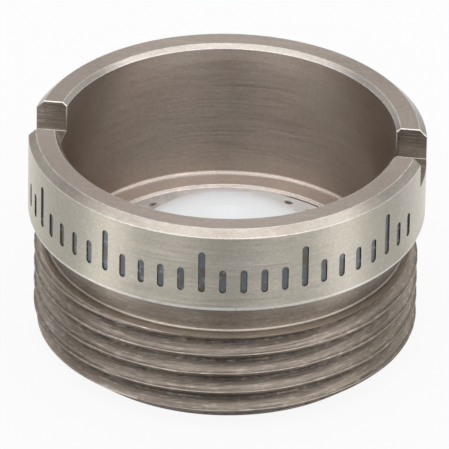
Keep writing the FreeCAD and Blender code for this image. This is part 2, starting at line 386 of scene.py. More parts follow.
def section_rows():
    """Rows of the turned section above the thread, round the cup and back to the lead cone.

    Each row also says where it lies in a slot, and the finish of the band after it, which picks
    among lighter and darker copies of the steel: painted light and shade.
    """
    foot = NECK_RADIUS + NECK_FOOT
    neck = rounded([
        (foot, SHOULDER, 0),
        (NECK_RADIUS, SHOULDER + NECK_FOOT, NECK_ROUND),
        *[(NECK_RADIUS, height, 0) for height, _ in NECK_GRIME_AND_SHADE],
        (NECK_RADIUS, COLLAR_BOTTOM - NECK_FOOT - NECK_ROUND, 0),
    ])
    grime_and_shade = dict(NECK_GRIME_AND_SHADE)
    collar = rounded([
        (NECK_RADIUS, COLLAR_BOTTOM - NECK_FOOT, 0),
        (NECK_RADIUS + NECK_FOOT, COLLAR_BOTTOM, 0),
        (collar_radius - COLLAR_EDGE_DEPTH, COLLAR_BOTTOM, COLLAR_LOWER_ROUND),
        (collar_radius, COLLAR_BOTTOM + COLLAR_EDGE_RISE, COLLAR_UPPER_ROUND),
        (collar_radius, SLOT_FLOOR - FLOOR_BREAK, 0),
    ], steps=FINE_ARC_STEPS)
    rim = rounded([
        (collar_radius, SLOT_FLOOR + 2 * SLOT_BREAK, 0),
        (collar_radius, rim_height - OUTER_CHAMFER, EDGE_ROUND),
        (collar_radius - OUTER_CHAMFER, rim_height, EDGE_ROUND),
        (BORE_RADIUS + INNER_CHAMFER, rim_height, EDGE_ROUND),
        (BORE_RADIUS, rim_height - INNER_CHAMFER, EDGE_ROUND),
        (BORE_RADIUS, SLOT_FLOOR + 2 * SLOT_BREAK, 0),
    ])
    inner = rounded([
        (BORE_RADIUS, SLOT_FLOOR - FLOOR_BREAK, 0),
        (BORE_RADIUS, LEDGE + BORE_CORNER, BORE_CORNER_ROUND),
        (BORE_RADIUS - BORE_CORNER, LEDGE, BORE_CORNER_ROUND),
        (glue_radius + LEDGE_CHAMFER, LEDGE, EDGE_ROUND),
        (glue_radius, LEDGE - LEDGE_CHAMFER, EDGE_ROUND),
        (glue_radius, glue_floor, GROOVE_ROUND),
        (POCKET_RADIUS, glue_floor, EDGE_ROUND),
        (POCKET_RADIUS, LIP_TOP, GROOVE_ROUND),
        (APERTURE_RADIUS, LIP_TOP, EDGE_ROUND),
        (APERTURE_RADIUS, APERTURE_BEVEL, EDGE_ROUND),
        (APERTURE_RADIUS + APERTURE_BEVEL, 0, EDGE_ROUND),
    ], steps=FINE_ARC_STEPS)
    rows = []
    # Soiling and painted shade up the neck, darkest in the corner at its foot.
    for radius, height, worn in neck:
        worn -= grime_and_shade.get(height, 0)
        kind = NECK
        if height < SHOULDER + NECK_FOOT / 2:
            worn = -FOOT_GRIME_AND_SHADE
            kind = BEVEL
        rows.append(Row(radius, height, radius, worn, "outside", kind))
    for radius, height, worn in collar:
        low = COLLAR_BOTTOM <= height < COLLAR_BOTTOM + COLLAR_EDGE_RISE
        on_edge = low and radius > collar_radius - COLLAR_EDGE_DEPTH - COLLAR_MARGIN
        worn = RUBBED_AND_HIGHLIT if on_edge else RUBBED_AND_HIGHLIT * worn
        rows.append(Row(radius, height, radius, worn, "outside", OUTSIDE))
    for number, (radius, height, worn) in enumerate(rim):
        share = number / (len(rim) - 1)
        slot_radius = collar_radius - FLOOR_BREAK
        slot_radius += share * (BORE_RADIUS - collar_radius + 2 * FLOOR_BREAK)
        rows.append(Row(radius, height, slot_radius, worn, "rim", finish_and_painted_light_of(rim, number)))
    for number, (radius, height, worn) in enumerate(inner):
        rows.append(Row(radius, height, radius, worn, "inside", finish_and_painted_light_of(inner, number)))
    low = THREAD_RADIUS - LEAD_WIDTH
    rows.append(Row(low, 0, low, 0.0, "outside", CUP))
    return rows


def finish_and_painted_light_of(points, number):
    """Finish of the band after a point of the rim's or the cup's section, among them lighter and
    darker copies of the steel by slope and place: painted light and shade.
    """
    radius, height = points[number][:2]
    after = points[min(number + 1, len(points) - 1)]
    run, rise = abs(after[0] - radius), abs(after[1] - height)
    if radius > collar_radius - FLAT and run < FLAT:
        return OUTSIDE
    on_rim = height > SLOT_FLOOR
    if run > BEVEL_SHARE * rise and rise > BEVEL_SHARE * run:
        if radius > (collar_radius + BORE_RADIUS) / 2:
            return BEVEL
        return BRIGHT_BEVEL if on_rim else CORNER
    if run > rise:
        return FACE if on_rim else SHELF
    return CUP


def inset(rows, number, distance):
    """A row's place moved into the metal, square to the section."""
    here = rows[number]
    before = Vector(rows[number - 1][:2])
    after = Vector(rows[number + 1][:2])
    along = (after - before).normalized()
    return here.radius - along.y * distance, here.height + along.x * distance


PLACES = ("rim", "edge", "wall_top", "wall", "wall_foot", "floor")


def slot_columns():
    """Columns of the half circle round the slot at +X: (base angle, place at the slot)."""
    edges = [
        (SLOT_HALF + SLOT_BREAK + WEAR_AND_HIGHLIGHT_FADE, "rim"),
        (SLOT_HALF + SLOT_BREAK, "edge"),
        (SLOT_HALF, "wall_top"),
        (SLOT_HALF, "wall"),
        (SLOT_HALF, "wall_foot"),
        (SLOT_HALF - FLOOR_BREAK, "floor"),
    ]
    special = []
    for across, place in edges:
        angle = math.asin(across / collar_radius)
        special.append((angle, place))
        special.append((-angle, place))
    slot_angle = math.asin(SLOT_HALF / collar_radius)
    columns = list(special)
    count = round(math.pi / COLUMN_STEP)
    for number in range(count):
        angle = -math.pi / 2 + number * COLUMN_STEP
        if min(abs(angle - other) for other, _ in special) < COLUMN_STEP * CLOSEST_COLUMNS:
            continue
        columns.append((angle, "floor" if abs(angle) < slot_angle else "rim"))
    columns.sort(key=lambda c: (round(c[0], 9), math.copysign(1, -c[0]) * PLACES.index(c[1])))
    return columns


def column_angle(base, radius):
    """Angle of a column at a radius: near the slots, columns run parallel to their walls."""
    weight = 1 - smoothstep(abs(base), PARALLEL_TO, RADIAL_FROM)
    across = collar_radius * math.sin(base) / radius
    if weight == 0:
        return base
    return base + weight * (math.asin(across) - base)


def row_points(rows, base, place, turn):
    """Points of one column along all rows."""
    points = []
    for number, row in enumerate(rows):
        radius, height, worn = row.radius, row.height, row.worn
        angle = base
        if row.where == "inside":
            angle = column_angle(base, BORE_RADIUS)
        if row.where == "rim":
            # Slot edges: bright from wear and painted highlight on the chamfer, darker below it.
            slot_edge_wear_and_light = -SLOT_EDGE_DARKENING if height < rim_height - OUTER_CHAMFER else 1.0
            if place == "edge":
                worn = slot_edge_wear_and_light
            elif place == "wall_top":
                radius, height = inset(rows, number, SLOT_BREAK)
                worn = slot_edge_wear_and_light
            elif place == "wall":
                radius, height = inset(rows, number, SLOT_BREAK + WEAR_AND_HIGHLIGHT_FADE)
                worn = 0.0
            elif place == "wall_foot":
                radius, height, worn = row.slot_radius, SLOT_FLOOR + FLOOR_BREAK, 0.0
            elif place == "floor":
                radius, height, worn = row.slot_radius, SLOT_FLOOR, 0.0
            angle = column_angle(base, radius)
        points.append((polar(radius, angle + turn, height), worn))
    return points


def make_housing():
    mesh = Mesh()
    rows = section_rows()
    profile = thread_profile()
    columns = []
    for turn in (0, math.pi):
        columns += [(base, place, turn) for base, place in slot_columns()]
    grid = []
    threads = []
    for base, place, turn in columns:
        points = row_points(rows, base, place, turn)
        grid.append([mesh.vertex(point, worn) for point, worn in points])
        threads.append((base + turn, thread_column(base + turn, profile)))
    count = len(columns)
    for number in range(count):
        following = (number + 1) % count
        left, right = grid[number], grid[following]
        in_slot = columns[number][1] not in ("rim", "edge")
        in_slot = in_slot and columns[following][1] not in ("rim", "edge")
        for index in range(len(rows) - 1):
            kind = rows[index].kind
            if in_slot and rows[index].where == "rim":
                kind = MILLED
            corners = [left[index], right[index], right[index + 1], left[index + 1]]
            mesh.face(corners, kind)
        angle, column = threads[number]
        next_angle, next_column = threads[following]
        if following == 0:
            next_column = shifted(next_column, -1)
        zip_columns(mesh, column, angle, next_column, next_angle)
        # The shoulder between the thread's end and the foot of the neck.
        top = mesh.vertex(polar(column[-1][1], angle, SHOULDER))
        next_top = mesh.vertex(polar(next_column[-1][1], next_angle, SHOULDER))
        mesh.face([top, next_top, right[0], left[0]], THREADED)
    return mesh.build("cell_housing", "worn")


# Graduation: a plain scale of straight strokes cut round the collar.
SCALE_LOW = 3.74
SCALE_TALL = 1.08
SCALE_SHORT = 0.62
STROKE_WIDTH = 0.17
STROKE_DEPTH = 0.035
STROKE_STEP = math.radians(6)
STROKE_CAP_STEPS = 6
# Numbers of the strokes between two slots, in steps from +X; tall ones count from the middle one.
FIRST_STROKE = 3
MIDDLE_STROKE = 15
LAST_STROKE = 27
TALL_EVERY = 5
# Ends of a cutter: (distance out of the collar, how much it is drawn in on each side).
CUTTER_ENDS = ((0.05, -0.006), (-STROKE_DEPTH, 0.012))


def stroke_outline(width, low, high):
    """Outline of an upright stroke with round ends, as (across, height)."""
    half = width / 2
    points = []
    for end, middle in ((0, high - half), (math.pi, low + half)):
        for step in range(STROKE_CAP_STEPS + 1):
            turn = end + math.pi * step / STROKE_CAP_STEPS
            points.append((half * math.cos(turn), middle + half * math.sin(turn)))
    return points


def make_strokes():
    """Cutters of the graduation, as closed solids that reach out of the collar."""
    mesh = Mesh()
    for turn in (0, math.pi):
        for number in range(FIRST_STROKE, LAST_STROKE + 1):
            angle = turn + number * STROKE_STEP
            tall = (number - MIDDLE_STROKE) % TALL_EVERY == 0
            high = SCALE_LOW + (SCALE_TALL if tall else SCALE_SHORT)
            rings = []
            for outward, inward in CUTTER_ENDS:
                radius = collar_radius + outward
                outline = stroke_outline(
                    STROKE_WIDTH - 2 * inward, SCALE_LOW + inward, high - inward
                )
                rings.append([
                    mesh.vertex(polar(radius, angle + across / collar_radius, height))
                    for across, height in outline
                ])
            outer, inner = rings
            size = len(outer)
            for index in range(size):
                after = (index + 1) % size
                mesh.face([outer[index], inner[index], inner[after], outer[after]], 1)
            mesh.face(outer, 1)
            mesh.face(inner[::-1], 0)
    return mesh.build("scale_cutters")


def cut_strokes(housing, floor_material, wall_material):
    cutters = make_strokes()
    cutters.data.materials.append(floor_material)
    cutters.data.materials.append(wall_material)
    cut = housing.modifiers.new("graduation", "BOOLEAN")
    cut.operation = "DIFFERENCE"
    cut.solver = "EXACT"
    cut.material_mode = "TRANSFER"
    cut.object = cutters
    graph = bpy.context.evaluated_depsgraph_get()
    data = bpy.data.meshes.new_from_object(housing.evaluated_get(graph))
    housing.modifiers.clear()
    housing.data = data
    bpy.data.objects.remove(cutters)


# Lens and glue

TOP_CURVE = 2.8
TOP_CONIC = -0.6
TOP_STEPS = 48
FLANGE_WIDTH = 0.41
FLANGE_CHAMFER = 0.05
FLANGE_TOP_ROUND = 0.015
FLANGE_FOOT_ROUND = 0.01
REAR_CURVE = 16.0
REAR_MARGIN = 0.06
REAR_RADIUS = APERTURE_RADIUS - REAR_MARGIN
REAR_STEPS = 24
ROUND_STEPS = 256


def top_drop(distance):
    root = math.sqrt(1 - (1 + TOP_CONIC) * (distance / TOP_CURVE) ** 2)
    return distance**2 / (TOP_CURVE * (1 + root))


dome_radius = lens_radius - FLANGE_WIDTH
flange_top = lens_apex - top_drop(dome_radius)


def revolve(mesh, section):
    """Turn a half section, listed from the axis outwards and back, round the axis."""
    rings = []
    for radius, height in section:
        if radius == 0:
            rings.append([mesh.vertex((0, 0, height))] * ROUND_STEPS)
            continue
        rings.append([
            mesh.vertex(polar(radius, TAU * step / ROUND_STEPS, height))
            for step in range(ROUND_STEPS)
        ])
    for inner, outer in zip(rings, rings[1:]):
        for step in range(ROUND_STEPS):
            after = (step + 1) % ROUND_STEPS
            mesh.face([inner[step], outer[step], outer[after], inner[after]])


def make_lens():
    """Moulded asphere: curved top, flat flange, seat, shallow rear."""
    top = []
    for step in range(TOP_STEPS + 1):
        distance = dome_radius * step / TOP_STEPS
        top.append((distance, lens_apex - top_drop(distance)))
    edge = rounded([
        (dome_radius, flange_top, 0),
        (lens_radius, flange_top, FLANGE_TOP_ROUND),
        (lens_radius, LIP_TOP + FLANGE_CHAMFER, FLANGE_FOOT_ROUND),
        (lens_radius - FLANGE_CHAMFER, LIP_TOP, FLANGE_FOOT_ROUND),
        (REAR_RADIUS, LIP_TOP, 0),
    ])
    rear = []
    for step in range(1, REAR_STEPS + 1):
        distance = REAR_RADIUS * (1 - step / REAR_STEPS)
        rise = REAR_CURVE - math.sqrt(REAR_CURVE**2 - distance**2)
        rear.append((distance, lens_rear + rise))
    section = top + [(r, z) for r, z, _ in edge[1:]] + rear
    mesh = Mesh()
    revolve(mesh, section)
    return mesh.build("moulded_lens")


GLUE_CLEAR = 0.003
GLUE_STEPS = 720
GLUE_ACROSS = 22
# Inner edge: how far it creeps in over the dome, and how it wanders, as (size, scale).
GLUE_CREEP = 0.06
GLUE_WANDER = ((0.04, 3.0), (0.015, 14))
# Surface: its rise at the metal, its swell in the middle, and its lumps, as (size, scale).
GLUE_RISE = 0.034
GLUE_SWELL = 0.0225
SWELL_POWER = 0.7
SWELL_STRETCH = 1.02
GLUE_LUMPS = ((0.010, 2.2), (0.006, 6.5))
LUMPS_FULL_AT = 0.25
# Thickness of the film over the flange and over the dome, and its gap below.
FLANGE_FILM = 0.004
DOME_FILM = 0.003
FILM_GAP = 0.002
VOID_DEPTH = 0.03
VOID_FLOOR = 0.7
# Voids in the glue: (degrees round the axis, radius, half length, half width).
VOIDS = (
    (68.7, 3.11, 0.13, 0.075),
    (58.0, 3.06, 0.06, 0.05),
    (131, 3.08, 0.12, 0.05),
    (148, 3.02, 0.06, 0.04),
)
# Dark gap between the glue and the metal, a painted shadow line: the middle of its stretch, and
# the cosines of the angles from there at which it starts and is full.
RIM_SHADOW_LINE = math.radians(59)
RIM_SHADOW_ENDS = (0.955, 0.99)


def void_share(angle, radius):
    """How far a place lies in one of the glue's voids, from 0 outside to 1."""
    share = 0.0
    for void_angle, void_radius, length, width in VOIDS:
        along = (angle - math.radians(void_angle)) * void_radius
        off = math.hypot(along / length, (radius - void_radius) / width)
        share = max(share, 1 - smoothstep(off, VOID_FLOOR, 1.0))
    return share


def glue_height(angle, radius, inner):
    """Height of the cured surface: a low meniscus that thins out over the flange."""
    across = (radius - inner) / (glue_radius - inner)
    place = Vector((math.cos(angle) * radius, math.sin(angle) * radius, 0))
    lumps = sum(size * noise.noise(place * scale) for size, scale in GLUE_LUMPS)
    lumps *= min(1.0, across / LUMPS_FULL_AT)
    swell = GLUE_SWELL * math.sin(math.pi * min(1.0, across * SWELL_STRETCH)) ** SWELL_POWER
    rise = GLUE_RISE * across**2 + swell + lumps
    rise = max(0.0, rise - VOID_DEPTH * void_share(angle, radius))
    lens_top = max(flange_top, lens_apex - top_drop(radius))
    return max(flange_top + FLANGE_FILM + rise, lens_top + DOME_FILM)


def make_glue():
    """Cured glue in the groove round the lens, creeping in over the flange."""
    mesh = Mesh()
    columns = []
    for step in range(GLUE_STEPS):
        angle = TAU * step / GLUE_STEPS
        place = Vector((math.cos(angle), math.sin(angle), 0))
        wander = sum(size * noise.noise(place * scale) for size, scale in GLUE_WANDER)
        inner = dome_radius - GLUE_CREEP + wander
        column = []
        for number in range(GLUE_ACROSS + 1):
            radius = inner + (glue_radius - GLUE_CLEAR - inner) * number / GLUE_ACROSS
            # The voids and a stretch of the line at the metal are painted dark: painted shade.
            dark = void_share(angle, radius)
            if number >= GLUE_ACROSS - 1:
                dark = max(dark, smoothstep(math.cos(angle - RIM_SHADOW_LINE), *RIM_SHADOW_ENDS))
            column.append((radius, glue_height(angle, radius, inner), dark))
        column.append((glue_radius - GLUE_CLEAR, glue_floor + GLUE_CLEAR, 0.0))
        column.append((lens_radius + GLUE_CLEAR, glue_floor + GLUE_CLEAR, 0.0))
        column.append((lens_radius + GLUE_CLEAR, flange_top + FILM_GAP, 0.0))
        column.append((inner, flange_top + FILM_GAP, 0.0))
        columns.append([mesh.vertex(polar(r, angle, z), dark) for r, z, dark in column])
    for step, column in enumerate(columns):
        following = columns[(step + 1) % GLUE_STEPS]
        for number in range(len(column)):
            after = (number + 1) % len(column)
            mesh.face([
                column[number], column[after], following[after], following[number]
            ])
    return mesh.build("glue_bead", "dark")


# Materials

# Usual middle range of a noise.
NOISE_MIDDLE = (0.3, 0.7)


def set_inputs(node, values):
    for name, value in values.items():
        node.inputs[name].default_value = value


def start_material(name):
    material = bpy.data.materials.new(name)
    material.use_nodes = True
    tree = material.node_tree
    tree.nodes.clear()
    shader = tree.nodes.new("ShaderNodeBsdfPrincipled")
    output = tree.nodes.new("ShaderNodeOutputMaterial")
    tree.links.new(shader.outputs[0], output.inputs["Surface"])
    return material, tree, shader


def math_node(tree, operation, first, second=None, third=None, clamp=False):
    node = tree.nodes.new("ShaderNodeMath")
    node.operation = operation
    node.use_clamp = clamp
    for socket, value in zip(node.inputs, (first, second, third)):
        if value is None:
            continue
        if isinstance(value, (int, float)):
            socket.default_value = value
        else:
            tree.links.new(value, socket)
    return node.outputs[0]


def times(tree, first, second, clamp=False):
    return math_node(tree, "MULTIPLY", first, second, clamp=clamp)


def mix_colour(tree, share, first, second):
    node = tree.nodes.new("ShaderNodeMix")
    node.data_type = "RGBA"
    sockets = (node.inputs[0], node.inputs[6], node.inputs[7])
    for socket, value in zip(sockets, (share, first, second)):
        if isinstance(value, tuple):
            socket.default_value = (*value, 1)
        else:
            tree.links.new(value, socket)
    return node.outputs[2]


def noise_at(tree, place, scale, detail=2.0, rough=0.5):
    node = tree.nodes.new("ShaderNodeTexNoise")
    set_inputs(node, {"Scale": scale, "Detail": detail, "Roughness": rough})
    tree.links.new(place, node.inputs["Vector"])
    return node.outputs["Fac"]


def map_range(tree, value, start, end, low, high, kind="LINEAR"):
    """Change from low at the start value to high at the end value."""
    node = tree.nodes.new("ShaderNodeMapRange")
    node.interpolation_type = kind
    set_inputs(node, {"From Min": start, "From Max": end, "To Min": low, "To Max": high})
    tree.links.new(value, node.inputs["Value"])
    return node.outputs["Result"]


def fade(tree, value, start, end, low, high):
    return map_range(tree, value, start, end, low, high, "SMOOTHSTEP")


def spread(tree, value, low=0.0, high=1.0):
    """Map a noise from its middle range to another range."""
    return map_range(tree, value, *NOISE_MIDDLE, low, high)


def patches(tree, value, low, high):
    """As spread, with zero for what falls below it."""
    return math_node(tree, "MAXIMUM", spread(tree, value, low, high), 0.0)


def object_place(tree):
    return tree.nodes.new("ShaderNodeTexCoord").outputs["Object"]


def split_place(tree, place):
    split = tree.nodes.new("ShaderNodeSeparateXYZ")
    tree.links.new(place, split.inputs[0])
    return split.outputs


def from_axis(tree):
    """Coordinates in the object and the distance from its axis."""
    x, y, z = split_place(tree, object_place(tree))
    squares = math_node(tree, "ADD", times(tree, x, x), times(tree, y, y))
    return x, y, z, math_node(tree, "SQRT", squares)


def stretched_place(tree, scale, turn=(0, 0, 0)):
    mapping = tree.nodes.new("ShaderNodeMapping")
    set_inputs(mapping, {"Rotation": turn, "Scale": scale})
    tree.links.new(object_place(tree), mapping.inputs["Vector"])
    return mapping.outputs[0]


def turned_place(tree, along, across):
    """Coordinates that change slowly along a lathe mark and fast across it."""
    x, y, z, radius = from_axis(tree)
    section = math_node(tree, "MULTIPLY_ADD", radius, SECTION_SLOPE, z)
    join = tree.nodes.new("ShaderNodeCombineXYZ")
    for socket, value, scale in zip(join.inputs, (x, y, section), (along, along, across)):
        tree.links.new(times(tree, value, scale), socket)
    return join.outputs[0]


def milled_place(tree, along, across):
    """Coordinates that change slowly along X, the way the slots were milled."""
    return stretched_place(tree, (along, across, across))


def layer_value(tree, name):
    layer = tree.nodes.new("ShaderNodeAttribute")
    layer.attribute_name = name
    return layer.outputs["Fac"]


def add_bump(tree, shader, height, strength, depth):
    """Relief in the surface, with its depth in millimetres."""
    bump = tree.nodes.new("ShaderNodeBump")
    set_inputs(bump, {"Strength": strength, "Distance": depth * MM})
    tree.links.new(height, bump.inputs["Height"])
    tree.links.new(bump.outputs[0], shader.inputs["Normal"])


# Colour of edges rubbed bright, in part a painted highlight.
EDGE_WEAR_AND_HIGHLIGHT_COLOUR = (0.84, 0.81, 0.77)
DASH_COLOUR = (0.78, 0.69, 0.64)
# Makes the marks differ over level faces as well as up the walls.
SECTION_SLOPE = 1.62
# Fineness of the tool marks along and across them, and of what looks the same all ways.
FINE_MARKS = (600.0, 21000.0)
SHORT_MARKS = (3800.0, 24000.0)
GRAIN = 15000.0
STAINS = 750.0
BREAKS = 8500.0
SHORT_DEPTH = 0.5
SCRATCH_TURN = (0.5, 0.75, 0.35)
SCRATCH_SCALE = (70.0, 9000.0, 9000.0)
SCRATCH_FADE = (0.61, 0.66)
# How the breaks thin out the bright edges, which are wear and painted highlight, and the darker
# grooves, which are soiling and painted shade, and the shade where an edge is missed.
WEAR_AND_HIGHLIGHT_SPREAD = (0.35, 1.0)
GRIME_AND_SHADE_SPREAD = (0.62, 0.8)
MISSED_SHADE = 0.3
DASH_SPREAD = (-1.2, 1.0)
# Edges rubbed and painted bright are less metallic; marks and stains vary the roughness by this
# much.
HIGHLIT_EDGE_DULL = 0.45
MARK_ROUGH = 0.05
STAIN_ROUGH = 0.03


def scaled_colour(tree, colour, factor):
    node = tree.nodes.new("ShaderNodeVectorMath")
    node.operation = "SCALE"
    tree.links.new(colour, node.inputs[0])
    tree.links.new(factor, node.inputs["Scale"])
    return node.outputs[0]


def metal(name, colour, tint, roughness, anisotropy, lines, dashes, marks=0.004, grit=0.07,
          scratches=0.0, place=turned_place):
    """Machined steel: stained, with fine tool marks, grooves darkened by soiling and painted
    shade, and edges made bright by wear and a painted highlight.
    """
    material, tree, shader = start_material(name)
    set_inputs(shader, {"IOR": 1.5, "Anisotropic": anisotropy, "Anisotropic Rotation": 0.25})
    tangent = tree.nodes.new("ShaderNodeTangent")
    tangent.direction_type = "RADIAL"
    tangent.axis = "Z"
    tree.links.new(tangent.outputs[0], shader.inputs["Tangent"])

    anywhere = object_place(tree)
    fine = noise_at(tree, place(tree, *FINE_MARKS), 1.0, detail=3.0, rough=0.6)
    short = noise_at(tree, place(tree, *SHORT_MARKS), 1.0)
    grain = noise_at(tree, anywhere, GRAIN)
    stains = noise_at(tree, anywhere, STAINS, detail=4.0, rough=0.6)
    broken = noise_at(tree, anywhere, BREAKS, detail=3.0, rough=0.6)

    # Above zero: edges rubbed bright and painted highlight; below zero: soiling and painted shade.
    layer = layer_value(tree, "worn")
    edge = math_node(tree, "MAXIMUM", layer, 0.0)
    worn = times(tree, edge, spread(tree, broken, *WEAR_AND_HIGHLIGHT_SPREAD), clamp=True)
    groove = math_node(tree, "MINIMUM", layer, 0.0)
    caught = spread(tree, broken, *GRIME_AND_SHADE_SPREAD)
    dirt_and_shade = math_node(tree, "MULTIPLY_ADD", groove, caught, 1.0, clamp=True)

    ground = mix_colour(tree, spread(tree, stains), colour, tint)
    lined = spread(tree, fine, 1 - lines, 1 + lines)
    light = times(tree, lined, spread(tree, grain, 1 - grit, 1 + grit))
    if scratches:
        scored = noise_at(tree, stretched_place(tree, SCRATCH_SCALE, SCRATCH_TURN), 1.0)
        scored = fade(tree, scored, *SCRATCH_FADE, 1.0, 1.0 + scratches)
        light = times(tree, light, scored)
    missed = math_node(tree, "SUBTRACT", edge, worn)
    patchy = math_node(tree, "MULTIPLY_ADD", missed, -MISSED_SHADE, 1.0, clamp=True)
    light = times(tree, light, patchy)
    ground = scaled_colour(tree, ground, times(tree, light, dirt_and_shade))
    dashed = times(tree, patches(tree, short, *DASH_SPREAD), dirt_and_shade)
    dashed = times(tree, dashed, dashes, clamp=True)
    ground = mix_colour(tree, dashed, ground, DASH_COLOUR)
    tree.links.new(mix_colour(tree, worn, ground, EDGE_WEAR_AND_HIGHLIGHT_COLOUR), shader.inputs["Base Color"])

    metallic = math_node(tree, "MULTIPLY_ADD", worn, -HIGHLIT_EDGE_DULL, 1.0)
    tree.links.new(metallic, shader.inputs["Metallic"])
    marked = spread(tree, fine, roughness - MARK_ROUGH, roughness + MARK_ROUGH)
    stained = spread(tree, stains, -STAIN_ROUGH, STAIN_ROUGH)
    rough = math_node(tree, "ADD", marked, stained, clamp=True)
    tree.links.new(rough, shader.inputs["Roughness"])
    height = math_node(tree, "MULTIPLY_ADD", short, SHORT_DEPTH, fine)
    add_bump(tree, shader, height, strength=1.0, depth=marks)
    return material


# Brown stains in the strokes, and a grey for painted glints.
STROKE_STAIN = (0.17, 0.125, 0.09)
STROKE_PAINTED_GLINT = (0.42, 0.44, 0.45)
STROKE_SHADE = 0.75
STROKE_GRAIN = 16000.0
STROKE_STAINS = 3100.0
STROKE_GLINT_SCALE = 5200.0
STAIN_SPREAD = (-0.6, 0.9)
PAINTED_GLINT_SPREAD = (-1.5, 0.55)
STROKE_ROUGH = (0.4, 0.6)


def engraving_material(name, colour):
    material, tree, shader = start_material(name)
    set_inputs(shader, {"Metallic": 0.6})
    place = object_place(tree)
    grain = noise_at(tree, place, STROKE_GRAIN, detail=3.0)
    glint_spots = noise_at(tree, place, STROKE_GLINT_SCALE)
    stains = noise_at(tree, place, STROKE_STAINS, detail=3.0)
    darker = tuple(c * STROKE_SHADE for c in colour)
    lit = mix_colour(tree, spread(tree, grain), darker, colour)
    lit = mix_colour(tree, patches(tree, stains, *STAIN_SPREAD), lit, STROKE_STAIN)
    # Scattered painted glints.
    lit = mix_colour(tree, patches(tree, glint_spots, *PAINTED_GLINT_SPREAD), lit, STROKE_PAINTED_GLINT)
    tree.links.new(lit, shader.inputs["Base Color"])
    tree.links.new(spread(tree, grain, *STROKE_ROUGH), shader.inputs["Roughness"])
    add_bump(tree, shader, grain, strength=0.6, depth=0.006)
    return material


LENS_HAZE = (0.80, 0.815, 0.83)
LENS_CLEAR = (0.84, 0.85, 0.86)
LENS_DUST = 5200.0
LENS_FILM = 900.0
DUST_SPREAD = (-0.05, 0.06)


def glass_material():
    material, tree, shader = start_material("lens_glass")
    set_inputs(shader, {
        "Transmission Weight": 1.0,
        "IOR": 1.58,
        "Coat Weight": 0.15,
        "Coat IOR": 1.38,
        "Coat Roughness": 0.02,
    })
    dust = noise_at(tree, object_place(tree), LENS_DUST, detail=4.0, rough=0.6)
    tree.links.new(patches(tree, dust, *DUST_SPREAD), shader.inputs["Roughness"])
    film = spread(tree, noise_at(tree, object_place(tree), LENS_FILM))
    tree.links.new(mix_colour(tree, film, LENS_HAZE, LENS_CLEAR), shader.inputs["Base Color"])
    return material


PALE_CLOUD = (0.94, 0.945, 0.89)
PALE_RESIN = (0.99, 0.995, 0.97)
DULL_CLOUD = (0.46, 0.44, 0.39)
DULL_RESIN = (0.86, 0.85, 0.82)
GAP_SHADE_COLOUR = (0.09, 0.07, 0.05)
# Where along X the resin turns from dull to pale, in metres.
PALE_FROM = (-0.0019, -0.0009)
GLUE_CLOUDS = 2600.0
GLUE_FLOW = 700.0
GLUE_ROUGH = (0.25, 0.45)


def glue_material():
    """Cloudy cured resin: olive on one side of the lens, whiter on the other."""
    material, tree, shader = start_material("cured_resin")
    set_inputs(shader, {
        "IOR": 1.5,
        "Coat Weight": 0.6,
        "Coat Roughness": 0.15,
        "Subsurface Weight": 0.3,
        "Subsurface Radius": (0.00012, 0.00012, 0.0001),
        "Subsurface Scale": 1.0,
    })
    place = object_place(tree)
    clouds = noise_at(tree, place, GLUE_CLOUDS, detail=4.0, rough=0.65)
    flow = noise_at(tree, place, GLUE_FLOW)
    side = map_range(tree, split_place(tree, place)[0], *PALE_FROM, 0.0, 1.0)
    cloudy = spread(tree, clouds)
    pale = mix_colour(tree, cloudy, PALE_CLOUD, PALE_RESIN)
    dull = mix_colour(tree, cloudy, DULL_CLOUD, DULL_RESIN)
    resin = mix_colour(tree, side, dull, pale)
    # Painted shade in the voids and along the metal.
    resin = mix_colour(tree, layer_value(tree, "dark"), resin, GAP_SHADE_COLOUR)
    tree.links.new(resin, shader.inputs["Base Color"])
    tree.links.new(spread(tree, flow, *GLUE_ROUGH), shader.inputs["Roughness"])
    add_bump(tree, shader, clouds, strength=0.5, depth=0.02)
    return material


# Pieces

OLIVE = (0.54, 0.505, 0.42)
BROWN = (0.52, 0.45, 0.385)
PINK = (0.55, 0.465, 0.42)
BEIGE = (0.34, 0.295, 0.255)
ROSE = (0.41, 0.332, 0.29)
MOSS = (0.355, 0.312, 0.262)
GREY = (0.54, 0.50, 0.445)
DARK = (0.42, 0.36, 0.31)
PALE = (0.46, 0.41, 0.385)
SAND = (0.66, 0.58, 0.53)
SLATE = (0.32, 0.295, 0.265)
COAL = (0.30, 0.26, 0.228)
BLUSH = (0.44, 0.375, 0.345)
RUST = (0.41, 0.355, 0.31)
UMBER = (0.365, 0.315, 0.26)
TAN = (0.53, 0.45, 0.39)
CLAY = (0.485, 0.42, 0.345)
ASH = (0.43, 0.40, 0.355)
STEEL_BLUE = (0.20, 0.225, 0.245)
# Near black for the strokes' walls: painted shade in the cuts.
GROOVE_WALL_SHADE = (0.06, 0.05, 0.045)

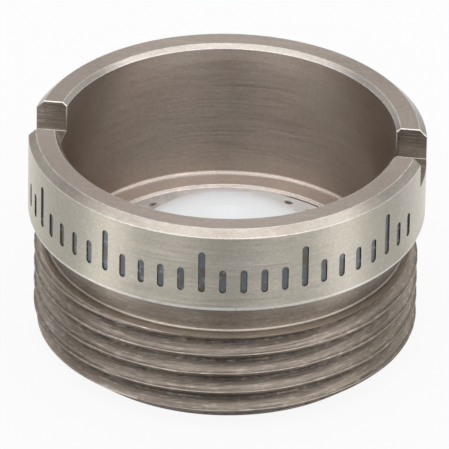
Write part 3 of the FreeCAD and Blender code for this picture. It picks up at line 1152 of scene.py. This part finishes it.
# Each finish: its name, the two colours that it mixes, roughness, anisotropy. Several are lighter
# and darker copies of one steel: the cup, corner, neck and bevel copies are darker, painted shade;
# the shelf copy is lighter, painted light, and the bright bevel is a lighter copy of the bevel, a
# painted highlight.
finishes_and_painted_light = (
    metal("steel_outside", OLIVE, GREY, 0.42, 0.9, lines=0.06, dashes=0.1, scratches=0.08),
    metal("steel_face", PINK, BROWN, 0.42, 0.85, lines=0.06, dashes=0.1, scratches=0.08),
    metal("steel_cup", ROSE, MOSS, 0.42, 0.85, lines=0.03, dashes=0.05),
    metal("steel_shelf", SAND, PINK, 0.42, 0.85, lines=0.05, dashes=0.05),
    metal("steel_bevel", BEIGE, ASH, 0.36, 0.5, lines=0.06, dashes=0.12),
    metal("steel_bright_bevel", PALE, ASH, 0.34, 0.5, lines=0.06, dashes=0.12),
    metal("steel_corner", BLUSH, RUST, 0.38, 0.5, lines=0.06, dashes=0.1, grit=0.1),
    metal("steel_milled", SLATE, COAL, 0.38, 0.3, lines=0.3, dashes=0.2, place=milled_place),
    metal("steel_thread", TAN, CLAY, 0.40, 0.7, lines=0.18, dashes=0.6, marks=0.006),
    metal("steel_neck", UMBER, DARK, 0.42, 0.85, lines=0.12, dashes=0.2),
    engraving_material("stroke_floor", STEEL_BLUE),
    engraving_material("stroke_wall", GROOVE_WALL_SHADE),
)

housing = make_housing()
for material in finishes_and_painted_light[:STROKE_FLOOR]:
    housing.data.materials.append(material)
cut_strokes(housing, finishes_and_painted_light[STROKE_FLOOR], finishes_and_painted_light[STROKE_WALL])
finish_mesh(housing, sharp_degrees=28)
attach(housing, "root")
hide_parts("housing")

lens = make_lens()
lens.data.materials.append(glass_material())
finish_mesh(lens, sharp_degrees=30)
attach(lens, "root")
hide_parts("aspheric_lens")

glue = make_glue()
glue.data.materials.append(glue_material())
finish_mesh(glue, sharp_degrees=50)
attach(glue, "root")
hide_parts("adhesive_ring")

# Camera, fitted to the photograph: the whole of the object at 42.94 pixels per millimetre.
IMAGE_SIZE = 449
FOCAL_PIXELS = 9172
SENSOR = 36.0
CAMERA_DISTANCE = 213.6
CAMERA_AZIMUTH = math.radians(6.74)
CAMERA_ELEVATION = math.radians(31.087)
CAMERA_ROLL = math.radians(1.0307)
TARGET = Vector((0, 0, 3.033))
TARGET_PIXEL = (225.90, 215.38)
CLIP = (0.01, 3.0)


def aim(azimuth, elevation):
    """Unit vector from the object towards a place round it."""
    return Vector((
        math.sin(azimuth) * math.cos(elevation),
        -math.cos(azimuth) * math.cos(elevation),
        math.sin(elevation),
    ))


def make_camera():
    data = bpy.data.cameras.new("camera")
    data.sensor_width = SENSOR
    data.lens = SENSOR * FOCAL_PIXELS / IMAGE_SIZE
    data.clip_start, data.clip_end = CLIP
    camera = add_object("camera", data)
    back = aim(CAMERA_AZIMUTH, CAMERA_ELEVATION)
    facing = (-back).to_track_quat("-Z", "Y")
    facing = facing @ Quaternion((0, 0, 1), CAMERA_ROLL)
    scale = FOCAL_PIXELS / CAMERA_DISTANCE
    middle = (IMAGE_SIZE - 1) / 2
    right = facing @ Vector((1, 0, 0))
    up = facing @ Vector((0, 1, 0))
    centre = TARGET - right * ((TARGET_PIXEL[0] - middle) / scale)
    centre -= up * ((middle - TARGET_PIXEL[1]) / scale)
    camera.rotation_mode = "QUATERNION"
    camera.rotation_quaternion = facing
    camera.location = (centre + back * CAMERA_DISTANCE) * MM
    bpy.context.scene.camera = camera


make_camera()

# Floor, world and lamps

# How bright the studio is, by the compass, in the metal: (degrees right of the camera, level).
FLOOR_LEVELS = (
    (-180, 1.75), (-155, 1.7), (-130, 1.35), (-110, 1.05), (-95, 0.85), (-80, 0.85), (-60, 1.6),
    (-38, 0.42), (0, 0.28), (38, 0.39), (60, 1.6), (80, 0.9), (95, 0.85), (110, 1.2), (130, 1.45),
    (155, 1.7),
)
WALL_LEVELS = (
    (-180, 0.88), (-160, 0.5), (-139, 0.85), (-110, 0.9), (-80, 0.75), (-60, 1.9),
    (-32, 2.3), (0, 0.9), (32, 2.3), (60, 1.8), (80, 0.75), (110, 0.95), (139, 0.9), (160, 0.5),
)
SKY_LEVELS = (
    (-180, 0.9), (-158, 0.4), (-140, 0.3), (-120, 0.3), (-102, 0.3), (-85, 1.8), (-60, 2.55),
    (-35, 3.4), (0, 1.5), (35, 3.4), (60, 2.25), (85, 2.3), (102, 0.35), (120, 0.35), (140, 0.35),
    (158, 0.4),
)
BRIGHTEST = 3.5
# Fades: (start, end, level at the start, level at the end). The floor's go by the distance from
# the axis in metres, the others by the height of a direction.
FLOOR_NEAR = (0.0048, 0.0084, 0.4, 1.0)
FLOOR_FAR = (0.014, 0.035, 1.0, 0.5)
OVERHEAD = (0.7, 0.96, 1.0, 0.25)
WALL_TO_SKY = (0.46, 0.58, 0.0, 1.0)
HORIZON = (0.0, 0.2, 0.6, 1.0)
FLOOR_HALF = 0.5
FLOOR_DROP = 0.00001
FLOOR_SEEN = 0.9
FLOOR_GRAIN = 300.0
FLOOR_GREY = (0.86, 0.86, 0.86)
FLOOR_PALE = (0.89, 0.89, 0.89)
WORLD_LIGHT = 0.8
LAMP_DISTANCE = 90
LAMP_TARGET = Vector((0, 0, 3))


def studio_level(tree, place, levels):
    """Brightness round the compass, from a few levels joined smoothly."""
    around = tree.nodes.new("ShaderNodeTexGradient")
    around.gradient_type = "RADIAL"
    tree.links.new(place, around.inputs["Vector"])
    ramp = tree.nodes.new("ShaderNodeValToRGB")
    ramp.color_ramp.interpolation = "EASE"
    stops = []
    for degrees, level in levels:
        turned = math.radians(degrees) + CAMERA_AZIMUTH - math.pi / 2
        stops.append(((turned / TAU + 0.5) % 1.0, level))
    stops.sort()
    (last, last_level), (first, first_level) = stops[-1], stops[0]
    seam = last_level + (first_level - last_level) * (1 - last) / (1 - last + first)
    stops = [(0.0, seam)] + stops + [(1.0, seam)]
    elements = ramp.color_ramp.elements
    for number, (position, level) in enumerate(stops):
        element = elements[number] if number < 2 else elements.new(position)
        element.position = position
        element.color = (level / BRIGHTEST,) * 3 + (1,)
    tree.links.new(around.outputs["Fac"], ramp.inputs[0])
    return times(tree, ramp.outputs["Color"], BRIGHTEST)


def floor_shade(tree):
    """The mirrored floor is darker close to the object, a painted shadow, and far from it."""
    distance = from_axis(tree)[3]
    near = fade(tree, distance, *FLOOR_NEAR)
    return times(tree, near, fade(tree, distance, *FLOOR_FAR))


def make_floor():
    half = FLOOR_HALF
    data = bpy.data.meshes.new("floor")
    corners = [(-half, -half, 0), (half, -half, 0), (half, half, 0), (-half, half, 0)]
    data.from_pydata(corners, [], [(0, 1, 2, 3)])
    floor = add_object("floor", data)
    floor.location.z = -FLOOR_DROP
    material, tree, shader = start_material("pale_floor")
    set_inputs(shader, {"Roughness": 0.9, "Specular IOR Level": 0.2})
    grain = noise_at(tree, object_place(tree), FLOOR_GRAIN, detail=3.0)
    tree.links.new(mix_colour(tree, grain, FLOOR_GREY, FLOOR_PALE), shader.inputs["Base Color"])
    white = tree.nodes.new("ShaderNodeEmission")
    rays = tree.nodes.new("ShaderNodeLightPath").outputs
    through = rays["Is Transmission Ray"]
    seen = math_node(tree, "MAXIMUM", times(tree, rays["Is Camera Ray"], FLOOR_SEEN), through)
    mirrored = math_node(tree, "SUBTRACT", rays["Is Glossy Ray"], through, clamp=True)
    # Seen in metal, the floor glows by the compass, a painted reflection of the studio, with a
    # painted shadow close to the object.
    level = studio_level(tree, object_place(tree), FLOOR_LEVELS)
    away = times(tree, level, floor_shade(tree))
    unmirrored = math_node(tree, "SUBTRACT", 1.0, mirrored)
    strength = math_node(tree, "MULTIPLY_ADD", mirrored, away, unmirrored)
    tree.links.new(strength, white.inputs["Strength"])
    mix = tree.nodes.new("ShaderNodeMixShader")
    tree.links.new(math_node(tree, "MAXIMUM", seen, mirrored), mix.inputs[0])
    tree.links.new(shader.outputs[0], mix.inputs[1])
    tree.links.new(white.outputs[0], mix.inputs[2])
    output = next(n for n in tree.nodes if n.type == "OUTPUT_MATERIAL")
    tree.links.new(mix.outputs[0], output.inputs["Surface"])
    data.materials.append(material)


def make_world():
    """White to the camera and through glass, a plain studio in metal, softer as light."""
    world = bpy.data.worlds.new("studio")
    bpy.context.scene.world = world
    world.use_nodes = True
    tree = world.node_tree
    tree.nodes.clear()
    output = tree.nodes.new("ShaderNodeOutputWorld")
    background = tree.nodes.new("ShaderNodeBackground")
    rays = tree.nodes.new("ShaderNodeLightPath").outputs
    directions = tree.nodes.new("ShaderNodeTexCoord").outputs["Generated"]
    upward = split_place(tree, directions)[2]
    high = fade(tree, upward, *WALL_TO_SKY)
    low = math_node(tree, "SUBTRACT", 1.0, high)
    walls = times(tree, studio_level(tree, directions, WALL_LEVELS), low)
    sky = times(tree, studio_level(tree, directions, SKY_LEVELS), high)
    studio = math_node(tree, "ADD", walls, sky)
    studio = times(tree, studio, fade(tree, upward, *OVERHEAD))
    studio = times(tree, studio, fade(tree, upward, *HORIZON))
    glossy = times(tree, rays["Is Glossy Ray"], studio)
    seen = math_node(tree, "MAXIMUM", rays["Is Camera Ray"], rays["Is Transmission Ray"])
    shown = math_node(tree, "MAXIMUM", glossy, seen)
    lighting = times(tree, rays["Is Diffuse Ray"], WORLD_LIGHT)
    strength = math_node(tree, "MAXIMUM", shown, lighting)
    tree.links.new(strength, background.inputs["Strength"])
    set_inputs(background, {"Color": (1, 1, 1, 1)})
    tree.links.new(background.outputs[0], output.inputs["Surface"])


def make_lamp(name, azimuth, elevation, size, radiance):
    """Square soft box round the object, facing it, as bright as the radiance says."""
    data = bpy.data.lights.new(name, "AREA")
    data.size = size * MM
    data.energy = radiance * math.pi * size * size * MM * MM
    lamp = add_object(name, data)
    towards = aim(math.radians(azimuth), math.radians(elevation))
    lamp.location = (towards * LAMP_DISTANCE + LAMP_TARGET) * MM
    lamp.rotation_mode = "QUATERNION"
    lamp.rotation_quaternion = (-towards).to_track_quat("-Z", "Y")


make_floor()
make_world()
make_lamp("soft_box_left", -86, 44, 30, 0.5)
make_lamp("soft_box_right", 90, 44, 30, 0.9)
make_lamp("soft_box_top", 6.7, 59, 40, 1.5)

scene = bpy.context.scene
scene.view_settings.view_transform = "Standard"
